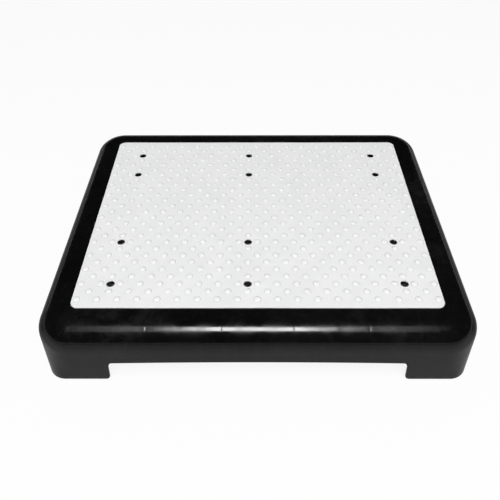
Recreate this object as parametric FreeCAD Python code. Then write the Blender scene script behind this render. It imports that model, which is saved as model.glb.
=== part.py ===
import FreeCAD, Part

import math
import os

# A low riser step: a black moulded platform on four corner feet, with a studded anti-slip mat on its deck.
# Sizes are in millimetres. +X is the width, +Y points to the back and +Z is up. The origin is on the floor,
# at the centre of the footprint. Names with "half" are measured from that centre.

# Platform: overall size
step_width = 490.0
step_depth = 394.0
body_height = 80.7  # the skirt's lower edge to the deck's top

# Platform: bullnose rim and drafted skirt
rim_round = 24.5  # radius of the bullnose along the deck's edge
rim_band = 1.0  # upright band under the bullnose
rim_overhang = 4.8  # how far the rim stands out past the drafted skirt's lower edge
rim_corner_radius = 40.0  # in plan
skirt_corner_radius = 22.0  # in plan, at the skirt's lower edge
skirt_thickness = 3.2  # of the rim too
deck_thickness = 4.0

# Platform: the cut-outs in the skirt, which leave the corner feet
foot_length = 74.5  # of each arm of a foot, along the skirt's lower edge
cutout_height = 33.5  # above the skirt's lower edge, at the cut-out's ends
cutout_crown = 2.3  # how much higher the cut-out is at its middle
cutout_top_radius = 5.5
cutout_flare = 1.5  # how much further out each end of the cut-out is at the foot than at its top
foot_edge_radius = 5.0

# Platform: underside ribs, and the plate in each foot
rib_thickness = 2.4  # of the foot boxes' walls too
rib_depth = 18.0  # below the deck
rib_pitch_x = 80.0
rib_pitch_y = 66.0
foot_plate_thickness = 3.0

# Mat and its adhesive sheet
mat_border_x = 36.8  # deck left bare at each side of the mat
mat_border_y = 39.0  # deck left bare in front of the mat and behind it
mat_corner_radius = 8.5
mat_thickness = 1.5
mat_edge_round = 0.6
adhesive_thickness = 0.3
adhesive_inset = 1.0
stud_pitch = 22.5
stud_diameter = 7.5
stud_height = 1.0
stud_edge_gap = 1.5  # least distance from a stud's rim to the mat's edge
stud_root = 0.5  # how deep a stud's body reaches into the mat that it is moulded with

# Drain holes, through the mat, the adhesive sheet and the deck
drain_diameter = 9.5
adhesive_hole_clearance = 0.5  # radial
drain_columns_in = 1.5  # pitches in from the last stud column to the outer holes
drain_rows_in_outer = 1.5  # pitches in from half a pitch past the last stud row
drain_rows_in_back = 3.5
drain_rows_in_front = 4.5

# Push-in rubber foot pads
pad_diameter = 28.0
pad_gap = 3.9  # between a pad and the walls of the box around it
pad_stand = 1.5  # how far a pad stands below the skirt
pad_recess = 3.0  # how deep a pad sits inside the skirt
pad_edge_round = 1.0
stem_diameter = 8.0
stem_clearance = 0.1  # radial
barb_diameter = 11.0
barb_height = 5.0
barb_tip_diameter = 6.0

# Heights worked out from the sizes above
skirt_bottom = pad_stand
deck_top = skirt_bottom + body_height
deck_underside = deck_top - deck_thickness
rim_bottom = deck_top - rim_round - rim_band
adhesive_top = deck_top + adhesive_thickness
mat_top = adhesive_top + mat_thickness
cutout_end_top = skirt_bottom + cutout_height
cutout_middle_top = cutout_end_top + cutout_crown
rib_bottom = deck_underside - rib_depth
plate_bottom = skirt_bottom + pad_recess
plate_top = plate_bottom + foot_plate_thickness

# Plan sizes worked out from the sizes above; those of the skirt are at its lower edge
skirt_width = step_width - 2 * rim_overhang
skirt_depth = step_depth - 2 * rim_overhang
cavity_width = skirt_width - 2 * skirt_thickness
cavity_depth = skirt_depth - 2 * skirt_thickness
cutout_half_x = skirt_width / 2 - foot_length
cutout_half_y = skirt_depth / 2 - foot_length
foot_box = pad_diameter + 2 * pad_gap  # inner size of the box of walls around each pad
foot_wall_x = cavity_width / 2 - foot_box - rib_thickness / 2
foot_wall_y = cavity_depth / 2 - foot_box - rib_thickness / 2
pad_half_x = (cavity_width - foot_box) / 2
pad_half_y = (cavity_depth - foot_box) / 2
mat_width = step_width - 2 * mat_border_x
mat_depth = step_depth - 2 * mat_border_y

overrun = 1.0  # how far a cutting body runs past what it cuts


def half_counts():
    """How many stud pitches fit between the centre and the last stud, across and along the mat."""
    margin = stud_diameter / 2 + stud_edge_gap
    across = math.floor((mat_width / 2 - margin) / stud_pitch)
    along = math.floor((mat_depth / 2 - margin) / stud_pitch + 0.5)
    return across, along


def stud_points():
    """Plan positions of the studs: full rows, and between them rows shifted by half a pitch."""
    across, along = half_counts()
    points = []
    for row in range(-along, along):
        for column in range(-across, across + 1):
            points.append((column * stud_pitch, (row + 0.5) * stud_pitch))
    for row in range(-along + 1, along):
        for column in range(-across, across):
            points.append(((column + 0.5) * stud_pitch, row * stud_pitch))
    return points


def drain_points():
    """Plan positions of the drain holes, which lie in the gaps of the stud pattern."""
    across, along = half_counts()
    outer = (across - drain_columns_in) * stud_pitch
    columns = [-outer, -stud_pitch / 2, outer]
    rows = [
        (along - drain_rows_in_outer) * stud_pitch,
        (along - drain_rows_in_back) * stud_pitch,
        -(along - drain_rows_in_front) * stud_pitch,
        -(along - drain_rows_in_outer) * stud_pitch,
    ]
    return [(x, y) for y in rows for x in columns]


def rib_lines(pitch, foot_wall):
    """Rib positions: a row of them centred on the step, and one in line with each foot wall."""
    lines = [foot_wall, -foot_wall]
    position = pitch / 2
    while position <= foot_wall - pitch / 2:
        lines += [position, -position]
        position += pitch
    return lines


def rounded_rectangle(width, depth, radius, z):
    """Closed wire of a rectangle with round corners, centred on the Z axis."""
    arcs = []
    for index, (side_x, side_y) in enumerate([(1, 1), (-1, 1), (-1, -1), (1, -1)]):
        centre_x = side_x * (width / 2 - radius)
        centre_y = side_y * (depth / 2 - radius)
        points = []
        for step in range(3):
            angle = math.radians(90 * index + 45 * step)
            x = centre_x + radius * math.cos(angle)
            y = centre_y + radius * math.sin(angle)
            points.append(FreeCAD.Vector(x, y, z))
        arcs.append(points)
    edges = []
    for index, points in enumerate(arcs):
        edges.append(Part.Arc(*points).toShape())
        edges.append(Part.makeLine(points[2], arcs[(index + 1) % 4][0]))
    return Part.Wire(edges)


def rounded_plate(width, depth, radius, low, high):
    """Upright prism on a rounded rectangle, between two heights."""
    face = Part.Face(rounded_rectangle(width, depth, radius, low))
    return face.extrude(FreeCAD.Vector(0, 0, high - low))


def block(x_range, y_range, z_range):
    """Box between two corners, given as ranges."""
    corner = FreeCAD.Vector(x_range[0], y_range[0], z_range[0])
    return Part.makeBox(
        x_range[1] - x_range[0], y_range[1] - y_range[0], z_range[1] - z_range[0], corner
    )


def edges_at_height(shape, z):
    """The edges that lie in the horizontal plane at z."""
    flat = 0.001
    return [e for e in shape.Edges if abs(e.BoundBox.ZMin - z) < flat and abs(e.BoundBox.ZMax - z) < flat]


def signed(low, high, side):
    """The range from low to high on the side of the centre that side (1 or -1) gives."""
    return sorted((side * low, side * high))


def moulded_form(inset, low, high):
    """Bullnose rim over a drafted skirt, as one filled-in form with every side set in by inset."""
    draft = (rim_bottom - low) / (rim_bottom - skirt_bottom)
    side = inset + rim_overhang * draft
    radius = rim_corner_radius + (skirt_corner_radius - rim_corner_radius) * draft - inset
    rim_size = (step_width - 2 * inset, step_depth - 2 * inset, rim_corner_radius - inset)
    rim = rounded_plate(*rim_size, rim_bottom, high)
    rim = rim.makeFillet(rim_round - inset, edges_at_height(rim, high))
    rim_wire = rounded_rectangle(*rim_size, rim_bottom)
    low_wire = rounded_rectangle(step_width - 2 * side, step_depth - 2 * side, radius, low)
    skirt = Part.makeLoft([low_wire, rim_wire], True, True)
    return rim.fuse(skirt).removeSplitter()


def cutout_form(half_length, reach):
    """Cutting body for one pair of skirt cut-outs, across X and running along Y, with a crowned top edge."""
    foot_half = half_length + cutout_flare
    flare = foot_half + foot_edge_radius
    crown_half = half_length - cutout_top_radius
    low = skirt_bottom - overrun
    bottom = skirt_bottom
    top = cutout_end_top
    bow = 1 - math.sqrt(0.5)  # how far a quarter arc's middle lies from its corner, in radii
    foot_bow = foot_edge_radius * bow
    roof_bow = cutout_top_radius * bow
    profile = []
    for side in (1, -1):
        foot = [
            FreeCAD.Vector(side * flare, 0, bottom),
            FreeCAD.Vector(side * (foot_half + foot_bow), 0, bottom + foot_bow),
            FreeCAD.Vector(side * foot_half, 0, bottom + foot_edge_radius),
        ]
        roof = [
            FreeCAD.Vector(side * half_length, 0, top - cutout_top_radius),
            FreeCAD.Vector(side * (half_length - roof_bow), 0, top - roof_bow),
            FreeCAD.Vector(side * crown_half, 0, top),
        ]
        profile.append(Part.makeLine(FreeCAD.Vector(side * flare, 0, low), foot[0]))
        profile.append(Part.Arc(*foot).toShape())
        profile.append(Part.makeLine(foot[2], roof[0]))
        profile.append(Part.Arc(*roof).toShape())
    crown = Part.Arc(
        FreeCAD.Vector(crown_half, 0, top),
        FreeCAD.Vector(0, 0, cutout_middle_top),
        FreeCAD.Vector(-crown_half, 0, top),
    )
    profile.append(crown.toShape())
    profile.append(Part.makeLine(FreeCAD.Vector(flare, 0, low), FreeCAD.Vector(-flare, 0, low)))
    face = Part.Face(Part.Wire(Part.__sortEdges__(profile)))
    body = face.extrude(FreeCAD.Vector(0, 2 * reach, 0))
    body.translate(FreeCAD.Vector(0, -reach, 0))
    return body


def rib_forms():
    """The ribs under the deck, as long blocks that still run past the skirt."""
    half = rib_thickness / 2
    height = (rib_bottom, deck_top)
    ribs = []
    for position in rib_lines(rib_pitch_x, foot_wall_x):
        across = (position - half, position + half)
        ribs.append(block(across, (-step_depth / 2, step_depth / 2), height))
    for position in rib_lines(rib_pitch_y, foot_wall_y):
        along = (position - half, position + half)
        ribs.append(block((-step_width / 2, step_width / 2), along, height))
    return ribs


def foot_forms():
    """The box in each corner that carries a pad: two walls down to the skirt's lower edge, and a plate."""
    half = rib_thickness / 2
    height = (skirt_bottom, deck_top)
    forms = []
    for side_x in (1, -1):
        for side_y in (1, -1):
            out_x = signed(foot_wall_x - half, step_width / 2, side_x)
            out_y = signed(foot_wall_y - half, step_depth / 2, side_y)
            wall_x = signed(foot_wall_x - half, foot_wall_x + half, side_x)
            wall_y = signed(foot_wall_y - half, foot_wall_y + half, side_y)
            forms.append(block(wall_x, out_y, height))
            forms.append(block(out_x, wall_y, height))
            forms.append(block(out_x, out_y, (plate_bottom, plate_top)))
    return forms


def through_holes(points, diameter, low, high):
    """Upright cutting cylinders at the given plan positions."""
    reach = high - low + 2 * overrun
    return [
        Part.makeCylinder(diameter / 2, reach, FreeCAD.Vector(x, y, low - overrun)) for x, y in points
    ]


def pad_points():
    """Plan positions of the pads, by name."""
    return {
        "front_left": (-pad_half_x, -pad_half_y),
        "front_right": (pad_half_x, -pad_half_y),
        "rear_left": (-pad_half_x, pad_half_y),
        "rear_right": (pad_half_x, pad_half_y),
    }


def platform_body():
    """The one-piece moulding: deck, bullnose rim, skirt, corner feet, ribs and drain holes."""
    cavity = moulded_form(skirt_thickness, skirt_bottom - overrun, deck_underside)
    shell = moulded_form(0, skirt_bottom, deck_top).cut(cavity)
    stiffeners = rib_forms() + foot_forms()
    inside = stiffeners[0].fuse(stiffeners[1:]).common(cavity)
    body = shell.fuse(inside).removeSplitter()
    side_cutouts = cutout_form(cutout_half_y, step_width)
    side_cutouts.rotate(FreeCAD.Vector(0, 0, 0), FreeCAD.Vector(0, 0, 1), 90)
    cutters = [cutout_form(cutout_half_x, step_depth), side_cutouts]
    cutters += through_holes(drain_points(), drain_diameter, deck_underside, deck_top)
    stem_hole = stem_diameter + 2 * stem_clearance
    cutters += through_holes(pad_points().values(), stem_hole, plate_bottom, plate_top)
    return body.cut(cutters)


def foot_pad(x, y):
    """Rubber foot: a disc under the foot plate, a stem through the plate and a barb that holds it there."""
    disc = Part.makeCylinder(pad_diameter / 2, plate_bottom)
    disc = disc.makeFillet(pad_edge_round, edges_at_height(disc, 0))
    stem = Part.makeCylinder(stem_diameter / 2, foot_plate_thickness, FreeCAD.Vector(0, 0, plate_bottom))
    barb = Part.makeCone(
        barb_diameter / 2, barb_tip_diameter / 2, barb_height, FreeCAD.Vector(0, 0, plate_top)
    )
    pad = disc.fuse([stem, barb]).removeSplitter()
    pad.translate(FreeCAD.Vector(x, y, 0))
    return pad


def mat_adhesive():
    """Thin sheet that bonds the mat to the deck, a little smaller than the mat."""
    width = mat_width - 2 * adhesive_inset
    depth = mat_depth - 2 * adhesive_inset
    radius = mat_corner_radius - adhesive_inset
    sheet = rounded_plate(width, depth, radius, deck_top, adhesive_top)
    diameter = drain_diameter + 2 * adhesive_hole_clearance
    return sheet.cut(through_holes(drain_points(), diameter, deck_top, adhesive_top))


def stud():
    """One low round dome on the mat's top, centred on the Z axis, with its root inside the mat."""
    radius = stud_diameter / 2
    sphere_radius = (radius**2 + stud_height**2) / (2 * stud_height)
    half_angle = math.asin(radius / sphere_radius) / 2
    middle = FreeCAD.Vector(
        sphere_radius * math.sin(half_angle),
        0,
        mat_top + stud_height - sphere_radius * (1 - math.cos(half_angle)),
    )
    apex = FreeCAD.Vector(0, 0, mat_top + stud_height)
    foot = FreeCAD.Vector(radius, 0, mat_top)
    root_rim = FreeCAD.Vector(radius, 0, mat_top - stud_root)
    root_centre = FreeCAD.Vector(0, 0, mat_top - stud_root)
    dome = Part.Arc(apex, middle, foot).toShape()
    outline = [
        dome,
        Part.makeLine(foot, root_rim),
        Part.makeLine(root_rim, root_centre),
        Part.makeLine(root_centre, apex),
    ]
    face = Part.Face(Part.Wire(outline))
    return face.revolve(FreeCAD.Vector(0, 0, 0), FreeCAD.Vector(0, 0, 1), 360)


def tread_mat():
    """Flexible anti-slip mat: a thin sheet with low domed studs and the drain holes."""
    sheet = rounded_plate(mat_width, mat_depth, mat_corner_radius, adhesive_top, mat_top)
    sheet = sheet.makeFillet(mat_edge_round, edges_at_height(sheet, mat_top))
    sheet = sheet.cut(through_holes(drain_points(), drain_diameter, adhesive_top, mat_top))
    pattern = stud()
    studs = []
    for x, y in stud_points():
        copy = pattern.copy()
        copy.translate(FreeCAD.Vector(x, y, 0))
        studs.append(copy)
    return sheet.fuse(studs).removeSplitter()


def save(node, shape):
    """Writes one sub-part, after testing that it is one sound solid."""
    solids = shape.Solids
    if len(solids) != 1 or not solids[0].isValid():
        raise ValueError(f"{node} is not one sound solid")
    solids[0].exportStep(f"parts/{node}.step")
    box = solids[0].optimalBoundingBox()
    size = f"{box.XLength:.1f} x {box.YLength:.1f} x {box.ZLength:.1f}"
    print(f"{node}: {size}, volume {solids[0].Volume:.0f}")


os.makedirs("parts", exist_ok=True)
save("platform_body", platform_body())
save("mat_adhesive", mat_adhesive())
save("tread_mat", tread_mat())
for place, (pad_x, pad_y) in pad_points().items():
    save(f"foot_pad_{place}", foot_pad(pad_x, pad_y))
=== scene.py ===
import math

import bpy
import numpy as np
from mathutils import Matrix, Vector
from mathutils.geometry import delaunay_2d_cdt


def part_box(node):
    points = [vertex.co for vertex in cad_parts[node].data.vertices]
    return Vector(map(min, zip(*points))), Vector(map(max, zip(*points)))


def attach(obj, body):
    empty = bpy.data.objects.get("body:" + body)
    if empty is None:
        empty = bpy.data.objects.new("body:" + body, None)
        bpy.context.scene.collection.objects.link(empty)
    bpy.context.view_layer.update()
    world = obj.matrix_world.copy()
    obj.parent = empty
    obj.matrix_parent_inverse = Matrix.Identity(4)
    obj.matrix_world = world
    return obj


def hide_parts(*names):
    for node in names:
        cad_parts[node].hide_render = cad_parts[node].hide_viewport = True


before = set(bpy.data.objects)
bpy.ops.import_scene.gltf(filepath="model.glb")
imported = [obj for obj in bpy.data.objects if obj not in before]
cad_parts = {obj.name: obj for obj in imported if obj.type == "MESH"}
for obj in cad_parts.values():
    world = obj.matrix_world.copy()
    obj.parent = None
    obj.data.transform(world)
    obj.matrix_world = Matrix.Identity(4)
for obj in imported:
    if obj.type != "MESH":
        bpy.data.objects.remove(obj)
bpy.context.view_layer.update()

# A low riser step, built around its CAD frame: a glossy black moulded platform on rubber pads, with a pale
# studded anti-slip mat on its deck. Lengths are in metres. +X is the width, +Y points to the back, +Z is up.

MM = 0.001

# Places taken from the frame
body_low, body_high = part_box("platform_body")
mat_low, mat_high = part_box("tread_mat")
pad_low, pad_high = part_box("foot_pad_front_right")
skirt_bottom = body_low[2]
deck_top = body_high[2]
adhesive_top = mat_low[2]
stud_top = mat_high[2]
half_x = body_high[0]
half_y = body_high[1]
mat_half_x = mat_high[0]
mat_half_y = mat_high[1]
pad_x = (pad_low[0] + pad_high[0]) / 2
pad_y = -(pad_low[1] + pad_high[1]) / 2

# Platform
wall = 3.2 * MM
deck_thickness = 4.0 * MM
rim_round = 24.5 * MM
rim_band = 1.0 * MM  # upright part of the rim, under the bullnose
rim_overhang = 4.8 * MM  # how far the drafted skirt stands in at its lower edge
rim_corner = 40.0 * MM
skirt_corner = 22.0 * MM
foot_length = 74.5 * MM
cutout_height = 33.5 * MM
cutout_flare = 1.5 * MM  # how much further out a cut-out's end is at the foot than at its top
cutout_crown = 2.3 * MM
cutout_top_radius = 5.5 * MM
foot_edge_radius = 5.0 * MM
lip_radius = 0.7 * MM  # of the skirt's lower edges

# Ribs, foot boxes and holes
rib_pitch_x = 80.0 * MM
rib_pitch_y = 66.0 * MM
rib_thickness = 2.4 * MM
rib_depth = 18.0 * MM  # below the deck
foot_plate_low = 3.0 * MM  # above the skirt's lower edge
foot_plate_thickness = 3.0 * MM
rib_root = 1.6 * MM  # how deep the ribs' ends reach into the walls they are moulded with
sink_depth = 0.12 * MM  # of the shrinkage line that each rib leaves on the rim
sink_width = 1.6 * MM
stem_hole = 4.1 * MM  # radius

# Mat
mat_thickness = 1.5 * MM
mat_corner = 8.5 * MM
mat_edge = 0.6 * MM
stud_pitch = 22.5 * MM
stud_radius = 3.75 * MM
stud_height = stud_top - adhesive_top - mat_thickness
stud_fillet = 0.45 * MM
far_from_ribs = rim_corner  # stands in as the rib distance of the round corners, which have no shrinkage lines
mat_top = adhesive_top + mat_thickness
studs_across = 9  # pitches from the centre to the last stud column
studs_along = 7
drain_radius = 4.75 * MM
drain_outer = (studs_across - 1.5) * stud_pitch
drain_columns = (-drain_outer, -stud_pitch / 2, drain_outer)
drain_pitches = (studs_along - 1.5, studs_along - 3.5, 4.5 - studs_along, 1.5 - studs_along)
drain_rows = [pitches * stud_pitch for pitches in drain_pitches]
drain_lip = 0.35 * MM  # small round on a drain hole's upper edge
drains = [(x, y) for y in drain_rows for x in drain_columns]

# Heights and plan sizes that follow
rim_low = deck_top - rim_round - rim_band
skirt_half_x = half_x - rim_overhang
skirt_half_y = half_y - rim_overhang
cutout_low = skirt_bottom + cutout_height
fan_top = cutout_low + cutout_crown + 3.0 * MM  # above it the skirt's skin runs unbroken round the step
rib_low = deck_top - deck_thickness - rib_depth
side_x = half_x - rim_corner  # half length of the rim's straight runs
side_y = half_y - rim_corner


# ---------------------------------------------------------------- stations round the rim

def around(points, spread):
    """Each of the points with a cluster of close neighbours on both sides of it."""
    return [p + side * d for p in points for d in spread for side in (-1, 1)]


def side_stations(length, ribs, cut_half):
    """Places along one side, centred on 0: close together at the ribs and at the ends of the cut-out."""
    fine = [0.0, 0.5 * MM, 1.0 * MM, 1.5 * MM, 2.1 * MM, 2.8 * MM, 3.7 * MM, 5.0 * MM]
    places = around(ribs, fine) + around([-rib for rib in ribs], fine)
    places += list(np.arange(-length, length + 1e-6, 6.5 * MM)) + [-length, length]
    zone = np.linspace(cut_half - 18.5 * MM, cut_half + 15.5 * MM, 40)
    places = [p for p in places if not zone[0] - 1e-6 < abs(p) < zone[-1] + 1e-6 and abs(p) <= length + 1e-9]
    places += list(zone) + list(-zone)
    kept = []
    for place in sorted(places):
        if not kept or place - kept[-1] > 0.3 * MM:
            kept.append(place)
    kept[-1] = length
    return np.array(kept)


cut_half_x = skirt_half_x - foot_length
cut_half_y = skirt_half_y - foot_length
ribs_x = [rib_pitch_x * n for n in (0.5, 1.5)]
ribs_y = [rib_pitch_y * n for n in (0.5, 1.5)]
runs_x = side_stations(side_x, ribs_x, cut_half_x)
runs_y = side_stations(side_y, ribs_y, cut_half_y)
corner_arc = rim_corner * math.pi / 2
corner_fine = np.array([0.6, 1.2, 1.8, 2.5, 3.4, 4.8]) * MM / corner_arc
corner_steps = np.concatenate([corner_fine, np.linspace(0, 1, 27)[3:-3], 1 - corner_fine[::-1]])

SIDES = (  # tangent, outward normal, stations
    (np.array([1.0, 0.0]), np.array([0.0, -1.0]), runs_x),
    (np.array([0.0, 1.0]), np.array([1.0, 0.0]), runs_y),
    (np.array([-1.0, 0.0]), np.array([0.0, 1.0]), runs_x),
    (np.array([0.0, -1.0]), np.array([-1.0, 0.0]), runs_y),
)


def ring(reach_x, reach_y, radius):
    """Plan points of a rounded rectangle at every station, counter-clockwise from the front left."""
    points = []
    for index, (tangent, normal, runs) in enumerate(SIDES):
        reach = reach_y if index % 2 == 0 else reach_x
        points.append(np.outer(runs, tangent) + normal * reach)
        following = SIDES[(index + 1) % 4]
        next_reach = reach_x if index % 2 == 0 else reach_y
        run_end = next_reach - radius
        lead = run_end - runs[-1]
        next_lead = (reach - radius) - following[2][-1]
        arc = radius * math.pi / 2
        way = corner_steps * (lead + arc + next_lead)
        angle = np.clip((way - lead) / radius, 0, math.pi / 2)
        before = np.minimum(way - lead, 0)
        after = np.maximum(way - lead - arc, 0)
        along = run_end + before + radius * np.sin(angle)
        out = reach - radius + radius * np.cos(angle) - after
        points.append(np.outer(along, tangent) + np.outer(out, normal))
    return np.concatenate(points)


def station_facts():
    """For every station: tangent, distance to the nearest rib, and the cut-out's edge there.

    The edge is given as (shift along the tangent, height) and its normal in the wall's plane.
    """
    tangents, distances, edges = [], [], []
    for index, (tangent, _, runs) in enumerate(SIDES):
        ribs = ribs_x if index % 2 == 0 else ribs_y
        cut_half = cut_half_x if index % 2 == 0 else cut_half_y
        for place in runs:
            tangents.append(tangent)
            near = [abs(abs(place) - rib) for rib in ribs]
            distances.append(min(near))
            edges.append(cutout_edge(place, cut_half))
        for step in corner_steps:
            tangents.append(np.zeros(2))
            distances.append(far_from_ribs)
            edges.append((0.0, skirt_bottom, 0.0, -1.0))
    return np.array(tangents), np.array(distances), np.array(edges)


def edge_path(cut_half):
    """The lower edge of the skirt from a foot, round the cut-out's end and on to its crowned top."""
    foot = np.linspace(math.radians(270), math.radians(180), 12)
    roof = np.linspace(0, math.radians(90), 12)
    foot_x = cut_half + cutout_flare + foot_edge_radius + foot_edge_radius * np.cos(foot)
    foot_z = skirt_bottom + foot_edge_radius + foot_edge_radius * np.sin(foot)
    roof_x = cut_half - cutout_top_radius + cutout_top_radius * np.cos(roof)
    roof_z = cutout_low - cutout_top_radius + cutout_top_radius * np.sin(roof)
    crown_x = np.linspace(cut_half - cutout_top_radius, cut_half - 18.5 * MM, 8)[1:]
    xs = np.concatenate([[cut_half + 15.5 * MM], foot_x, roof_x, crown_x])
    zs = np.concatenate([[skirt_bottom], foot_z, roof_z, crown_height(crown_x, cut_half)])
    return xs, zs


def crown_height(place, cut_half):
    """Height of the cut-out's crowned top edge."""
    return cutout_low + cutout_crown * (1 - (place / (cut_half - cutout_top_radius)) ** 2)


def cutout_edge(place, cut_half):
    """Shift along the side, height and in-plane normal of the skirt's lower edge for one station."""
    size = abs(place)
    side = 1 if place >= 0 else -1
    start, stop = cut_half + 15.5 * MM, cut_half - 18.5 * MM
    if size >= start:
        return (0.0, skirt_bottom, 0.0, -1.0)
    if size <= stop:
        return (0.0, crown_height(size, cut_half), 0.0, -1.0)
    xs, zs = edge_path(cut_half)
    way = np.concatenate([[0], np.cumsum(np.hypot(np.diff(xs), np.diff(zs)))])
    here = (start - size) / (start - stop) * way[-1]
    x, z = np.interp(here, way, xs), np.interp(here, way, zs)
    reach = 0.8 * MM
    dx = np.interp(here + reach, way, xs) - np.interp(here - reach, way, xs)
    dz = np.interp(here + reach, way, zs) - np.interp(here - reach, way, zs)
    length = math.hypot(dx, dz)
    return (side * (x - size), z, side * -dz / length, dx / length)


tangents, rib_distance, edges = station_facts()
sink = np.exp(-((rib_distance / sink_width) ** 2))


# ---------------------------------------------------------------- mesh helpers

def mesh_object(name, vertices, faces):
    """New mesh object at the origin."""
    mesh = bpy.data.meshes.new(name)
    mesh.from_pydata([tuple(v) for v in vertices], [], faces)
    mesh.validate()
    mesh.update()
    thing = bpy.data.objects.new(name, mesh)
    bpy.context.scene.collection.objects.link(thing)
    return thing


def rows_object(name, rows):
    """Closed mesh through rows of points round the rim, from its top face to its bottom face."""
    count = len(rows[0])
    vertices = np.concatenate(rows)
    faces = [tuple(range(count))]
    for row in range(len(rows) - 1):
        a, b = row * count, (row + 1) * count
        for i in range(count):
            j = (i + 1) % count
            faces.append((a + i, b + i, b + j, a + j))
    last = (len(rows) - 1) * count
    faces.append(tuple(reversed(range(last, last + count))))
    return mesh_object(name, vertices, faces)


def combine(target, operation, others):
    """Boolean of the target with each of the other objects in turn; the others are used up."""
    for other in others:
        modifier = target.modifiers.new(operation, "BOOLEAN")
        modifier.operation = operation
        modifier.solver = "MANIFOLD"
        modifier.object = other
        bpy.context.view_layer.update()
        result = bpy.data.meshes.new_from_object(target.evaluated_get(bpy.context.evaluated_depsgraph_get()))
        target.modifiers.clear()
        target.data = result
        bpy.data.objects.remove(other)


def finish_shading(thing, sharp_degrees):
    """Smooth shading with sharp edges kept, and normals that follow the large faces."""
    thing.data.shade_smooth()
    thing.data.set_sharp_from_angle(angle=math.radians(sharp_degrees))
    modifier = thing.modifiers.new("normals", "WEIGHTED_NORMAL")
    modifier.keep_sharp = True
    modifier.weight = 100


# ---------------------------------------------------------------- platform

def row_at(inset, z, turn, groove, skin_inset, fall=0.0):
    """One row of a skin: inset in plan, height, share of the draft (0 at the rim, 1 at the foot).

    groove and fall are the shares of the sink depth taken inwards and downwards at the ribs.
    """
    rim_radius = rim_corner - inset
    foot_radius = skirt_corner - skin_inset
    radius = rim_radius * (1 - turn) + foot_radius * turn
    reach = inset + rim_overhang * turn
    plan = ring(half_x - reach, half_y - reach, radius)
    if groove:
        scale = 1 - groove * sink_depth * sink[:, None] / np.linalg.norm(plan, axis=1)[:, None]
        plan = plan * scale
    return np.column_stack([plan, z - fall * sink_depth * sink])


def draft_share(z):
    """Share of the skirt's draft at a height: 0 at the rim's lower edge and 1 at the skirt's lower edge."""
    return (rim_low - z) / (rim_low - skirt_bottom)


def skin_rows(inset, top, groove):
    """Rows of one skin from the flat top, over the bullnose and down to where the cut-outs begin."""
    radius = rim_round - inset
    rows = []
    for extra in (14 * MM, 3 * MM, 0.5 * MM):
        rows.append(row_at(inset + radius + extra, top, 0, 0, inset))
    for step in np.linspace(0, math.pi / 2, 25 if groove else 9):
        across = inset + radius * (1 - math.sin(step))
        depth = groove * min(1.0, math.sin(step) * 2.6)
        z = top - radius * (1 - math.cos(step))
        rows.append(row_at(across, z, 0, depth * math.sin(step), inset, depth * math.cos(step)))
    for z in np.linspace(rim_low, fan_top, 9 if groove else 4):
        fade = (z - fan_top) / (rim_low - fan_top)
        rows.append(row_at(inset, z, draft_share(z), groove * 0.8 * fade, inset))
    return rows


def platform_shell():
    """The moulding without its ribs: outer skin, rounded lower lip, inner skin."""
    outer = skin_rows(0.0, deck_top, 1.0)
    inner = skin_rows(wall, deck_top - deck_thickness, 0.0)
    outer_low = row_at(0.0, skirt_bottom, 1, 0, 0.0)
    inner_low = row_at(wall, skirt_bottom, 1, 0, wall)

    def edge_row(share, offset):
        """Points on the skirt's lower edge, at a share of the wall's thickness and offset into the wall."""
        z = edges[:, 1] + edges[:, 3] * offset
        drop = ((fan_top - z) / (fan_top - skirt_bottom))[:, None]
        outer_plan = outer[-1][:, :2] * (1 - drop) + outer_low[:, :2] * drop
        inner_plan = inner[-1][:, :2] * (1 - drop) + inner_low[:, :2] * drop
        plan = outer_plan * (1 - share) + inner_plan * share
        plan = plan + tangents * (edges[:, 0] + edges[:, 2] * offset)[:, None]
        return np.column_stack([plan, z])

    lip = []
    for step in np.linspace(0, math.pi / 2, 5):
        share = lip_radius * (1 - math.cos(step)) / wall
        lip.append(edge_row(share, lip_radius * (math.sin(step) - 1)))
    for step in np.linspace(math.pi / 2, 0, 5):
        share = 1 - lip_radius * (1 - math.cos(step)) / wall
        lip.append(edge_row(share, lip_radius * (math.sin(step) - 1)))
    fan_down = [outer[-1] * (1 - s) + lip[0] * s for s in (0.2, 0.4, 0.6, 0.8, 0.95)]
    fan_up = [lip[-1] * (1 - s) + inner[-1] * s for s in (0.05, 0.3, 0.6)]
    return rows_object("platform_shell", outer + fan_down + lip + fan_up + inner[::-1])


def rib_strips(pitch, wall_place, limit):
    """Breakpoints along one axis, the spans that ribs fill, and the spans that the foot walls fill."""
    half = rib_thickness / 2
    middles = [pitch * (n + 0.5) for n in range(math.floor((wall_place - pitch / 2) / pitch + 0.5))]
    spans = [(side * middle - half, side * middle + half) for middle in middles for side in (-1, 1)]
    walls = [(side * wall_place - half, side * wall_place + half) for side in (-1, 1)]
    breaks = sorted({-limit, limit, *[edge for span in spans + walls for edge in span]})
    return breaks, spans, walls


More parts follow.
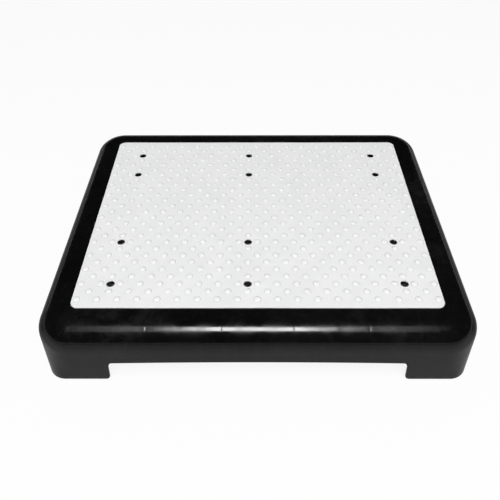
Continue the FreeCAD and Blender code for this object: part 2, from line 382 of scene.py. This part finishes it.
def lattice():
    """Ribs, foot walls and foot plates as one clean solid on a grid of unequal cells."""
    xs, spans_x, walls_x = rib_strips(rib_pitch_x, foot_wall_x, half_x)
    ys, spans_y, walls_y = rib_strips(rib_pitch_y, foot_wall_y, half_y)
    plate_low = skirt_bottom + foot_plate_low
    zs = [skirt_bottom, plate_low, plate_low + foot_plate_thickness, rib_low, deck_top]

    def within(place, spans):
        return any(low < place < high for low, high in spans)

    def filled(x, y, z):
        in_foot = abs(x) > foot_wall_x - rib_thickness / 2 and abs(y) > foot_wall_y - rib_thickness / 2
        on_wall = within(x, walls_x) or within(y, walls_y)
        if z > rib_low:
            return on_wall or within(x, spans_x) or within(y, spans_y)
        return in_foot and (on_wall or zs[1] < z < zs[2])

    counts = (len(xs) - 1, len(ys) - 1, len(zs) - 1)
    middles = [[(a + b) / 2 for a, b in zip(axis, axis[1:])] for axis in (xs, ys, zs)]
    solid = {
        (i, j, k)
        for i in range(counts[0])
        for j in range(counts[1])
        for k in range(counts[2])
        if filled(middles[0][i], middles[1][j], middles[2][k])
    }
    vertices, index, faces = [], {}, []

    def corner(i, j, k):
        if (i, j, k) not in index:
            index[i, j, k] = len(vertices)
            vertices.append((xs[i], ys[j], zs[k]))
        return index[i, j, k]

    squares = {
        (1, 0, 0): ((1, 0, 0), (1, 1, 0), (1, 1, 1), (1, 0, 1)),
        (-1, 0, 0): ((0, 0, 0), (0, 0, 1), (0, 1, 1), (0, 1, 0)),
        (0, 1, 0): ((0, 1, 0), (0, 1, 1), (1, 1, 1), (1, 1, 0)),
        (0, -1, 0): ((0, 0, 0), (1, 0, 0), (1, 0, 1), (0, 0, 1)),
        (0, 0, 1): ((0, 0, 1), (1, 0, 1), (1, 1, 1), (0, 1, 1)),
        (0, 0, -1): ((0, 0, 0), (0, 1, 0), (1, 1, 0), (1, 0, 0)),
    }
    for i, j, k in sorted(solid):
        for (di, dj, dk), square in squares.items():
            if (i + di, j + dj, k + dk) not in solid:
                faces.append([corner(i + a, j + b, k + c) for a, b, c in square])
    return mesh_object("ribs", vertices, faces)


def rod(name, x, y, radius, low, high, segments):
    """Upright cylinder used to cut a hole."""
    angles = np.linspace(0, 2 * math.pi, segments, endpoint=False)
    circle = np.column_stack([x + radius * np.cos(angles), y + radius * np.sin(angles)])
    rows = [np.column_stack([circle, np.full(segments, z)]) for z in (high, low)]
    return rows_object(name, rows)


foot_wall_x = pad_x - (skirt_half_x - wall - pad_x) - rib_thickness / 2
foot_wall_y = pad_y - (skirt_half_y - wall - pad_y) - rib_thickness / 2


def build_platform():
    """The one-piece moulding with its ribs, foot boxes and holes."""
    shell = platform_shell()
    ribs = lattice()
    envelope_rows = skin_rows(wall - rib_root, deck_top - deck_thickness / 2, 0.0)
    below = skirt_bottom - 1 * MM
    bottom = row_at(wall - rib_root, below, draft_share(below), 0, wall - rib_root)
    combine(ribs, "INTERSECT", [rows_object("envelope", envelope_rows + [bottom])])
    combine(shell, "UNION", [ribs])
    cutters = [rod("drain", x, y, drain_radius, rib_low, deck_top + 5 * MM, 48) for x, y in drains]
    for side_a in (-1, 1):
        for side_b in (-1, 1):
            low = skirt_bottom + foot_plate_low - 1 * MM
            high = low + foot_plate_thickness + 2 * MM
            cutters.append(rod("stem_hole", side_a * pad_x, side_b * pad_y, stem_hole, low, high, 32))
    combine(shell, "DIFFERENCE", cutters)
    finish_shading(shell, 38)
    return shell


# ---------------------------------------------------------------- mat

def circle(x, y, radius, segments):
    """Plan points of a circle, counter-clockwise."""
    angles = [2 * math.pi * n / segments for n in range(segments)]
    return [(x + radius * math.cos(angle), y + radius * math.sin(angle)) for angle in angles]


def stud_points():
    """Plan positions of the studs: full rows, and between them rows shifted by half a pitch."""
    points = []
    for row in range(-studs_along, studs_along):
        for column in range(-studs_across, studs_across + 1):
            points.append((column * stud_pitch, (row + 0.5) * stud_pitch))
    for row in range(1 - studs_along, studs_along):
        for column in range(-studs_across, studs_across):
            points.append(((column + 0.5) * stud_pitch, row * stud_pitch))
    return points


def mat_outline(inset):
    """Plan points of the mat's edge, slightly uneven as die-cut rubber is."""
    points = []
    radius = mat_corner - inset
    reach_x, reach_y = mat_half_x - inset, mat_half_y - inset
    for index, (side_a, side_b) in enumerate([(1, -1), (1, 1), (-1, 1), (-1, -1)]):
        start = math.radians(-90 + 90 * index)
        for n in range(9):
            angle = start + math.radians(90) * n / 8
            points.append((side_a * (reach_x - radius) + radius * math.cos(angle),
                           side_b * (reach_y - radius) + radius * math.sin(angle)))
        x, y = points[-1]
        count = 64 if index % 2 else 48
        run_x, run_y = reach_x - radius, reach_y - radius
        end_x, end_y = ((x, run_y), (-run_x, y), (x, -run_y), (run_x, y))[index]
        for n in range(1, count):
            share = n / count
            points.append((x + (end_x - x) * share, y + (end_y - y) * share))
    return [uneven(x, y) for x, y in points]


def uneven(x, y):
    """Moves a point of the mat's edge inwards by up to a few tenths of a millimetre."""
    wave = 0.5 + 0.25 * math.sin(x / (13 * MM) + 1.3) + 0.25 * math.sin((x + y) / (31 * MM))
    depth = 0.25 * MM * wave
    length = math.hypot(x, y)
    return x * (1 - depth / length), y * (1 - depth / length)


def flat_faces(loops):
    """Triangles between closed loops of plan points: the outline first, then the holes."""
    points = [Vector(p) for loop in loops for p in loop]
    rims, start = [], 0
    for loop in loops:
        rims += [(start + n, start + (n + 1) % len(loop)) for n in range(len(loop))]
        start += len(loop)
    places, _, triangles, _, _, _ = delaunay_2d_cdt(points, rims, [], 1, 1e-7)
    if len(places) != len(points):
        raise ValueError("the mat's outline and circles cross")
    owner = np.repeat(np.arange(len(loops)), [len(loop) for loop in loops])
    kept = []
    for triangle in triangles:
        owners = {int(owner[n]) for n in triangle}
        if len(owners) > 1 or owners == {0}:
            kept.append(tuple(triangle))
    return kept


def build_mat():
    """The flexible mat: flat faces between domed studs, rounded edges and drain holes."""
    stud_segments, drain_segments = 20, 40
    studs = stud_points()
    fillet_radius = stud_radius + stud_fillet
    drain_loops = [circle(x, y, drain_radius, drain_segments) for x, y in drains]
    rounded_drains = [circle(x, y, drain_radius + drain_lip, drain_segments) for x, y in drains]
    stud_loops = [circle(x, y, fillet_radius, stud_segments) for x, y in studs]
    outline = mat_outline(mat_edge)
    loops = [outline] + rounded_drains + stud_loops
    vertices = [(x, y, mat_top) for loop in loops for x, y in loop]
    faces = flat_faces(loops)
    drain_start = len(outline)
    stud_start = drain_start + len(drains) * drain_segments

    def strip(upper, lower, count):
        """Quads between two closed rows of vertices."""
        for n in range(count):
            m = (n + 1) % count
            faces.append((upper + n, lower + n, lower + m, upper + m))

    # rounded outer edge, then the side down to the adhesive
    previous = 0
    edge_rows = []
    for step in np.linspace(0, math.pi / 2, 5)[1:]:
        inset = mat_edge * (1 - math.sin(step))
        edge_rows.append((inset, mat_top - mat_edge * (1 - math.cos(step))))
    edge_rows += [(0.0, mat_top - mat_edge - 0.3 * MM), (0.0, adhesive_top)]
    for inset, z in edge_rows:
        start = len(vertices)
        vertices += [(x, y, z) for x, y in mat_outline(inset)]
        strip(previous, start, len(outline))
        previous = start
    bottom_outline = previous

    # drain holes, with a small rounded lip
    bottom_drains = []
    for index, (x, y) in enumerate(drains):
        previous = drain_start + index * drain_segments
        turns = np.linspace(0, math.pi / 2, 4)[1:]
        lip = [(drain_lip * (1 - math.sin(a)), drain_lip * (1 - math.cos(a))) for a in turns]
        for outset, drop in lip + [(0.0, mat_top - adhesive_top)]:
            start = len(vertices)
            plan = circle(x, y, drain_radius + outset, drain_segments)
            vertices += [(a, b, mat_top - drop) for a, b in plan]
            strip(previous, start, drain_segments)
            previous = start
        bottom_drains.append(previous)

    # studs: a fillet at the foot, then a dome that flattens towards its top
    turns = np.radians([22, 45])
    fillet = [(stud_fillet * (1 - math.sin(a)), stud_fillet * (1 - math.cos(a))) for a in turns]
    dome_low = fillet[-1][1]
    profile = [(stud_radius + out, up) for out, up in fillet]
    for a in np.radians([0, 12, 26, 41, 57, 73]):
        radius = (stud_radius - 0.1 * MM) * math.cos(a) ** 0.8
        profile.append((radius, dome_low + 0.06 * MM + (stud_height - dome_low - 0.06 * MM) * math.sin(a)))
    for index, (x, y) in enumerate(studs):
        previous = stud_start + index * stud_segments
        for radius, up in profile:
            start = len(vertices)
            vertices += [(a, b, mat_top + up) for a, b in circle(x, y, radius, stud_segments)]
            strip(start, previous, stud_segments)
            previous = start
        top = len(vertices)
        vertices.append((x, y, mat_top + stud_height))
        faces += [(previous + n, previous + (n + 1) % stud_segments, top) for n in range(stud_segments)]

    # underside
    under_loops = [mat_outline(0.0)] + drain_loops
    places = list(range(bottom_outline, bottom_outline + len(outline)))
    for start in bottom_drains:
        places += list(range(start, start + drain_segments))
    faces += [tuple(places[n] for n in reversed(face)) for face in flat_faces(under_loops)]
    mat = mesh_object("tread_mat_surface", vertices, faces)
    finish_shading(mat, 60)
    return mat


# ---------------------------------------------------------------- rubber pads

def build_pad(name, x, y):
    """Turned rubber pad: grip rings underneath, a disc, a stem and a barb."""
    radius = (pad_high[0] - pad_low[0]) / 2
    plate = skirt_bottom + foot_plate_low
    top = pad_high[2]
    groove, rise = 0.7 * MM, 0.6 * MM
    outline = [(0.0, rise), (2.2 * MM, rise), (2.6 * MM, 0.0)]
    for start in (4.6, 7.2, 9.8):
        r = start * MM
        outline += [(r - groove, 0.0), (r - groove / 2, rise), (r + groove / 2, rise), (r + groove, 0.0)]
    outline += [(radius - 1.0 * MM - radius * 0.02, 0.0)]
    for a in np.radians([0, 18, 36, 54, 72, 90]):
        outline.append((radius - 1.0 * MM * (1 - math.sin(a)), 1.0 * MM * (1 - math.cos(a))))
    outline += [(radius, plate - 0.6 * MM)]
    for a in np.radians([30, 60, 90]):
        outline.append((radius - 0.5 * MM * (1 - math.cos(a)), plate - 0.5 * MM * (1 - math.sin(a))))
    outline += [(4.4 * MM, plate), (4.0 * MM, plate + 0.3 * MM), (4.0 * MM, plate + foot_plate_thickness)]
    outline += [(5.2 * MM, plate + foot_plate_thickness), (5.5 * MM, plate + foot_plate_thickness + 0.3 * MM)]
    outline += [(3.3 * MM, top - 0.4 * MM), (2.9 * MM, top - 0.05 * MM), (2.4 * MM, top), (0.0, top)]
    segments = 56
    vertices, faces = [(x, y, outline[0][1])], []
    for r, z in outline[1:-1]:
        vertices += [(a, b, z) for a, b in circle(x, y, r, segments)]
    vertices.append((x, y, outline[-1][1]))
    last = len(vertices) - 1
    for n in range(segments):
        m = (n + 1) % segments
        faces.append((0, 1 + m, 1 + n))
        for row in range(len(outline) - 3):
            a, b = 1 + row * segments, 1 + (row + 1) * segments
            faces.append((a + n, a + m, b + m, b + n))
        b = 1 + (len(outline) - 3) * segments
        faces.append((b + n, b + m, last))
    pad = mesh_object(name, vertices, faces)
    finish_shading(pad, 35)
    return pad


# ---------------------------------------------------------------- materials

class Shader:
    """A material's node tree, with short calls for the nodes used here."""

    def __init__(self, name):
        self.material = bpy.data.materials.new(name)
        self.material.use_nodes = True
        self.tree = self.material.node_tree
        self.tree.nodes.clear()
        self.output = self.tree.nodes.new("ShaderNodeOutputMaterial")
        self.place = self.tree.nodes.new("ShaderNodeTexCoord").outputs["Object"]

    def node(self, kind, settings=None, **sockets):
        """Adds a node. Socket values are numbers, colours or another node's output."""
        made = self.tree.nodes.new("ShaderNode" + kind)
        for key, value in (settings or {}).items():
            setattr(made, key, value)
        for key, value in sockets.items():
            socket = made.inputs[int(key[1:])] if key[0] == "_" else made.inputs[key.replace("_", " ")]
            if isinstance(value, bpy.types.NodeSocket):
                self.tree.links.new(value, socket)
            else:
                socket.default_value = value
        return made

    def noise(self, scale, detail=3.0, roughness=0.5, stretch=(1, 1, 1)):
        """Noise from 0 to 1 with so many features per metre, stretched along an axis."""
        mapped = self.node("Mapping", Vector=self.place, Scale=tuple(scale * s for s in stretch)).outputs[0]
        made = self.node("TexNoise", Vector=mapped, Scale=1.0, Detail=detail, Roughness=roughness)
        return made.outputs["Fac"]

    def ramp(self, value, low, high, out_low=0.0, out_high=1.0):
        """Maps a range of a value smoothly onto another range."""
        smooth = {"interpolation_type": "SMOOTHSTEP"}
        return self.node("MapRange", smooth, _0=value, _1=low, _2=high, _3=out_low, _4=out_high).outputs[0]

    def math(self, operation, a, b=0.0):
        return self.node("Math", {"operation": operation}, _0=a, _1=b).outputs[0]

    def mix(self, share, a, b):
        """Mix of two colours."""
        made = self.node("Mix", {"data_type": "RGBA"}, _0=share, _6=a, _7=b)
        return made.outputs[2]

    def bump(self, height, distance, normal=None):
        """Normal of a height of that distance, on top of another normal."""
        made = self.node("Bump", Height=height, Distance=distance, Strength=1.0)
        if normal is not None:
            self.tree.links.new(normal, made.inputs["Normal"])
        return made.outputs[0]

    def axis(self, name):
        return self.node("SeparateXYZ", Vector=self.place).outputs[name]

    def surface(self, shader):
        """Ends the tree with a shader and returns the material."""
        self.tree.links.new(shader.outputs[0], self.output.inputs["Surface"])
        return self.material

    def finish(self, colour, rough, normal, specular, ior=1.5):
        """Ends the tree with a plain dielectric and returns the material."""
        sockets = {"Base_Color": colour, "Roughness": rough, "Normal": normal, "Specular_IOR_Level": specular}
        return self.surface(self.node("BsdfPrincipled", IOR=ior, **sockets))


def grey(value, warmth=0.0):
    """Linear grey as a colour, slightly warm or cool."""
    return (value * (1 + warmth), value, value * (1 - warmth), 1.0)


def black_plastic():
    """Glossy black moulding: faint orange peel, flow streaks, hairline scratches and scuffed feet."""
    s = Shader("gloss_black_plastic")
    height = s.axis("Z")
    broad = s.noise(7, 3)
    cloud = s.noise(38, 4, 0.6)
    streaks = s.noise(260, 2, 0.4, (1, 1, 0.03))
    scratch_a = s.ramp(s.noise(900, 1, 0.2, (1, 0.02, 0.6)), 0.66, 0.72)
    scratch_b = s.ramp(s.noise(800, 1, 0.2, (0.03, 1, 0.6)), 0.67, 0.73)
    patches = s.ramp(s.noise(16, 2), 0.52, 0.66)
    scratches = s.math("MULTIPLY", s.math("MAXIMUM", scratch_a, scratch_b), patches)
    feet = s.ramp(height, skirt_bottom + 9 * MM, skirt_bottom, 0.0, 1.0)
    scuffs = s.math("MULTIPLY", feet, s.ramp(s.noise(140, 5, 0.7), 0.4, 0.7))
    colour = s.mix(s.ramp(broad, 0.3, 0.7), grey(0.0020, -0.03), grey(0.0034, -0.02))
    smudges = s.math("MULTIPLY", s.ramp(s.noise(9, 2), 0.48, 0.68), s.ramp(s.noise(55, 5, 0.65), 0.42, 0.72))
    colour = s.mix(s.math("MULTIPLY", smudges, 0.65), colour, grey(0.014, 0.03))
    colour = s.mix(s.ramp(streaks, 0.5, 0.75, 0.0, 0.5), colour, grey(0.007))
    colour = s.mix(s.math("MULTIPLY", scratches, 0.2), colour, grey(0.02))
    colour = s.mix(s.math("MULTIPLY", scuffs, 0.5), colour, grey(0.045, 0.03))
    rough = s.ramp(cloud, 0.34, 0.66, 0.09, 0.22)
    rough = s.math("ADD", rough, s.math("MULTIPLY", streaks, 0.05))
    rough = s.math("ADD", rough, s.math("MULTIPLY", scratches, 0.08))
    rough = s.math("ADD", rough, s.math("MULTIPLY", scuffs, 0.25))
    waves = s.bump(s.noise(17, 3, 0.5), 0.34 * MM)
    peel = s.bump(s.noise(270, 3, 0.55), 0.028 * MM, waves)
    normal = s.bump(scratches, 0.003 * MM, peel)
    normal = s.bump(scuffs, 0.03 * MM, normal)
    return s.finish(colour, rough, normal, specular=0.2)


def mat_rubber():
    """Pale grey elastomer: fine grain, faint mottling, painted shade at the studs' feet, and polished stud
    tops painted lighter as a highlight.
    """
    s = Shader("pale_grey_mat")
    height = s.axis("Z")
    on_stud = s.ramp(height, mat_top + 0.35 * MM, stud_top - 0.25 * MM)
    # painted shade: a dark ring round the foot of each stud, where it meets the flat
    stud_foot_shade = s.math("MULTIPLY", s.ramp(height, mat_top, mat_top + 0.08 * MM),
                     s.ramp(height, mat_top + 0.50 * MM, mat_top + 0.16 * MM))
    mottle = s.noise(26, 5, 0.6)
    fine = s.noise(420, 4, 0.65)
    colour = s.mix(s.ramp(mottle, 0.3, 0.7), grey(0.785, -0.004), grey(0.825, -0.002))
    colour = s.mix(s.ramp(fine, 0.35, 0.75, 0.0, 0.35), colour, grey(0.76, 0.002))
    # the painted shade at the studs' feet
    colour = s.mix(s.math("MULTIPLY", stud_foot_shade, 0.85), colour, grey(0.52, 0.01))
    # painted highlight: the stud tops are made lighter; their lower roughness further down is real polish
    colour = s.mix(s.math("MULTIPLY", on_stud, 0.8), colour, grey(0.85, -0.004))
    side = s.ramp(height, mat_top - 0.15 * MM, mat_top - 1.2 * MM)
    colour = s.mix(s.math("MULTIPLY", side, 0.2), colour, grey(0.62, 0.01))
    rough = s.math("SUBTRACT", s.ramp(fine, 0.3, 0.7, 0.50, 0.62), s.math("MULTIPLY", on_stud, 0.12))
    grain = s.bump(s.noise(1700, 3, 0.6), 0.02 * MM)
    normal = s.bump(s.noise(60, 2, 0.5), 0.02 * MM, grain)
    return s.finish(colour, rough, normal, specular=0.10)


def foot_rubber():
    """Dark grey rubber, dusty where it meets the floor."""
    s = Shader("foot_rubber")
    height = s.axis("Z")
    cloud = s.noise(300, 5, 0.65)
    dust = s.math("MULTIPLY", s.ramp(height, 3 * MM, 0.0), s.ramp(cloud, 0.35, 0.65))
    colour = s.mix(s.ramp(cloud, 0.3, 0.7), grey(0.020), grey(0.034, 0.02))
    colour = s.mix(s.math("MULTIPLY", dust, 0.5), colour, grey(0.14, 0.05))
    rough = s.ramp(cloud, 0.3, 0.7, 0.62, 0.8)
    normal = s.bump(s.noise(1500, 3, 0.6), 0.03 * MM)
    return s.finish(colour, rough, normal, specular=0.4)


def adhesive_film():
    """Thin yellowish bonding film with trapped bubbles."""
    s = Shader("adhesive_film")
    cloud = s.noise(90, 4, 0.6)
    bubbles = s.ramp(s.noise(600, 2, 0.4), 0.6, 0.68)
    colour = s.mix(s.ramp(cloud, 0.3, 0.7), (0.60, 0.56, 0.44, 1), (0.72, 0.69, 0.58, 1))
    colour = s.mix(s.math("MULTIPLY", bubbles, 0.6), colour, (0.80, 0.78, 0.70, 1))
    rough = s.ramp(cloud, 0.3, 0.7, 0.35, 0.5)
    normal = s.bump(bubbles, 0.03 * MM)
    return s.finish(colour, rough, normal, specular=0.4, ior=1.48)


# ---------------------------------------------------------------- pieces

plastic = black_plastic()
platform = build_platform()
platform.data.materials.clear()
platform.data.materials.append(plastic)
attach(platform, "root")
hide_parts("platform_body")

mat = build_mat()
mat.data.materials.append(mat_rubber())
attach(mat, "root")
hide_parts("tread_mat")

rubber = foot_rubber()
feet = (("front_left", -1, -1), ("front_right", 1, -1), ("rear_left", -1, 1), ("rear_right", 1, 1))
for place, sign_x, sign_y in feet:
    pad = build_pad(f"rubber_foot_{place}", sign_x * pad_x, sign_y * pad_y)
    pad.data.materials.append(rubber)
    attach(pad, "root")
    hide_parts(f"foot_pad_{place}")

film = adhesive_film()
for material_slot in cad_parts["mat_adhesive"].material_slots:
    material_slot.material = film


# ---------------------------------------------------------------- stage

floor_size = 60.0
floor_glow = 0.88  # share of plain white in what the camera and reflections see of the floor
fill_level = 0.20  # of the world's even light
flag_size, flag_height = 40.0, 1.9
card_size, card_height = 8.0, 0.4 * MM
card_side = 0.26  # the card's level beside and behind the step
key_place, key_target = (0.0, -1.9, 3.2), (0.0, 0.0, 0.08)
key_size, key_radiance = 2.0, 11.0
highlight_place, highlight_target = (0.0, -0.47, 1.10), (0.0, -0.40, 0.0)
highlights = (  # name, width, depth, radiance: a bright middle and its dim wings
    ("highlight_softbox", 0.38, 0.34, 54.0),
    ("highlight_wings", 0.95, 0.56, 3.0),
)


def plane(name, size, z):
    """Level square over the origin, as a piece of the stage."""
    half = size / 2
    corners = [(-half, -half, z), (half, -half, z), (half, half, z), (-half, half, z)]
    thing = mesh_object(name, corners, [(0, 1, 2, 3)])
    return thing


def only_in_gloss(thing):
    """Leaves an object to be seen by glossy rays alone."""
    thing.visible_camera = False
    thing.visible_diffuse = False
    thing.visible_transmission = False
    thing.visible_shadow = False
    thing.visible_volume_scatter = False


def area_light(name, place, target, size_x, size_y, radiance, in_gloss):
    """Rectangular softbox of a given radiance, aimed at a point and seen in reflections or not."""
    light = bpy.data.lights.new(name, "AREA")
    light.shape = "RECTANGLE"
    light.size = size_x
    light.size_y = size_y
    light.energy = radiance * math.pi * size_x * size_y
    thing = bpy.data.objects.new(name, light)
    thing.location = place
    thing.rotation_euler = (Vector(target) - Vector(place)).to_track_quat("-Z", "Y").to_euler()
    thing.visible_glossy = in_gloss
    thing.visible_camera = False
    bpy.context.scene.collection.objects.link(thing)
    return thing


def ray_kind(tree):
    """1 for camera, glossy and transmission rays, and 0 for the others."""
    path = tree.nodes.new("ShaderNodeLightPath")
    total = path.outputs["Is Camera Ray"]
    for kind in ("Is Glossy Ray", "Is Transmission Ray"):
        add = tree.nodes.new("ShaderNodeMath")
        add.operation = "MAXIMUM"
        tree.links.new(total, add.inputs[0])
        tree.links.new(path.outputs[kind], add.inputs[1])
        total = add.outputs[0]
    return total


def build_floor():
    """Pale floor that reads as white and keeps a soft shadow. It is clear when seen from below."""
    floor = plane("studio_floor", floor_size, 0.0)
    s = Shader("studio_floor")
    under_x = s.ramp(s.math("ABSOLUTE", s.axis("X")), half_x - 42 * MM, half_x - 15 * MM)
    under_y = s.ramp(s.math("ABSOLUTE", s.axis("Y")), half_y - 52 * MM, half_y - 26 * MM)
    outside = s.math("MAXIMUM", under_x, under_y)
    shown = s.math("MULTIPLY", ray_kind(s.tree), s.math("MULTIPLY", outside, floor_glow))
    diffuse = s.node("BsdfDiffuse", Color=grey(0.86))
    glow = s.node("Emission", Color=grey(1.0), Strength=1.0)
    top = s.node("MixShader", _0=shown, _1=diffuse.outputs[0], _2=glow.outputs[0])
    below = s.node("NewGeometry").outputs["Backfacing"]
    clear = s.node("BsdfTransparent")
    sides = s.node("MixShader", _0=below, _1=top.outputs[0], _2=clear.outputs[0])
    floor.data.materials.append(s.surface(sides))


def build_flag():
    """Black ceiling flag, seen only in reflections, that keeps the deck dark."""
    flag = plane("ceiling_flag", flag_size, flag_height)
    only_in_gloss(flag)
    s = Shader("ceiling_flag")
    flag.data.materials.append(s.surface(s.node("Emission", Color=grey(0.012), Strength=1.0)))


def build_card():
    """Floor card, seen only in reflections.

    It is pale in front of the step, and dimmer close to the step, round its other sides and far away. It is a
    painted reflection of the floor, and its dimming close to the step is a painted shadow of the step.
    """
    card = plane("floor_card", card_size, card_height)
    only_in_gloss(card)
    s = Shader("floor_card")
    y = s.axis("Y")
    front = s.ramp(y, -half_y + 60 * MM, -half_y - 10 * MM)
    # painted shadow: the reflected floor is dimmer close to the step's front
    near = s.ramp(y, -half_y - 70 * MM, -half_y - 20 * MM, 1.0, 0.56)
    side = s.math("MULTIPLY", s.math("SUBTRACT", 1.0, front), card_side)
    away_x = s.math("SUBTRACT", s.math("ABSOLUTE", s.axis("X")), half_x)
    away_y = s.math("SUBTRACT", s.math("ABSOLUTE", y), half_y)
    far = s.ramp(s.math("MAXIMUM", away_x, away_y), 0.22, 1.6, 1.0, 0.15)
    level = s.math("MULTIPLY", s.math("ADD", s.math("MULTIPLY", near, front), side), far)
    card.data.materials.append(s.surface(s.node("Emission", Color=grey(1.0), Strength=level)))


def build_world():
    """White studio surround to look at, and a dimmer even fill for the light that it gives."""
    world = bpy.data.worlds.new("studio")
    bpy.context.scene.world = world
    world.use_nodes = True
    tree = world.node_tree
    tree.nodes.clear()
    output = tree.nodes.new("ShaderNodeOutputWorld")
    mix = tree.nodes.new("ShaderNodeMixShader")
    fill = tree.nodes.new("ShaderNodeBackground")
    fill.inputs["Color"].default_value = grey(fill_level)
    white = tree.nodes.new("ShaderNodeBackground")
    white.inputs["Color"].default_value = grey(1.0)
    tree.links.new(ray_kind(tree), mix.inputs[0])
    tree.links.new(fill.outputs[0], mix.inputs[1])
    tree.links.new(white.outputs[0], mix.inputs[2])
    tree.links.new(mix.outputs[0], output.inputs["Surface"])


def build_camera():
    """Camera in front of the step, above it and looking down on the deck."""
    camera = bpy.data.cameras.new("camera")
    camera.sensor_width = 36.0
    camera.lens = 42.6
    camera.shift_x = -0.0050
    camera.shift_y = -0.1946
    camera.dof.use_dof = False
    thing = bpy.data.objects.new("camera", camera)
    thing.location = (-0.0042, -0.5836, stud_top + 0.5205)
    thing.rotation_euler = (math.radians(53.881), math.radians(0.093), math.radians(0.087))
    bpy.context.scene.collection.objects.link(thing)
    bpy.context.scene.camera = thing


build_floor()
build_flag()
build_card()
build_world()
area_light("key_softbox", key_place, key_target, key_size, key_size, key_radiance, False)
for name, width, depth, radiance in highlights:
    highlight = area_light(name, highlight_place, highlight_target, width, depth, radiance, True)
    highlight.visible_diffuse = False
build_camera()
bpy.context.scene.view_settings.view_transform = "Standard"
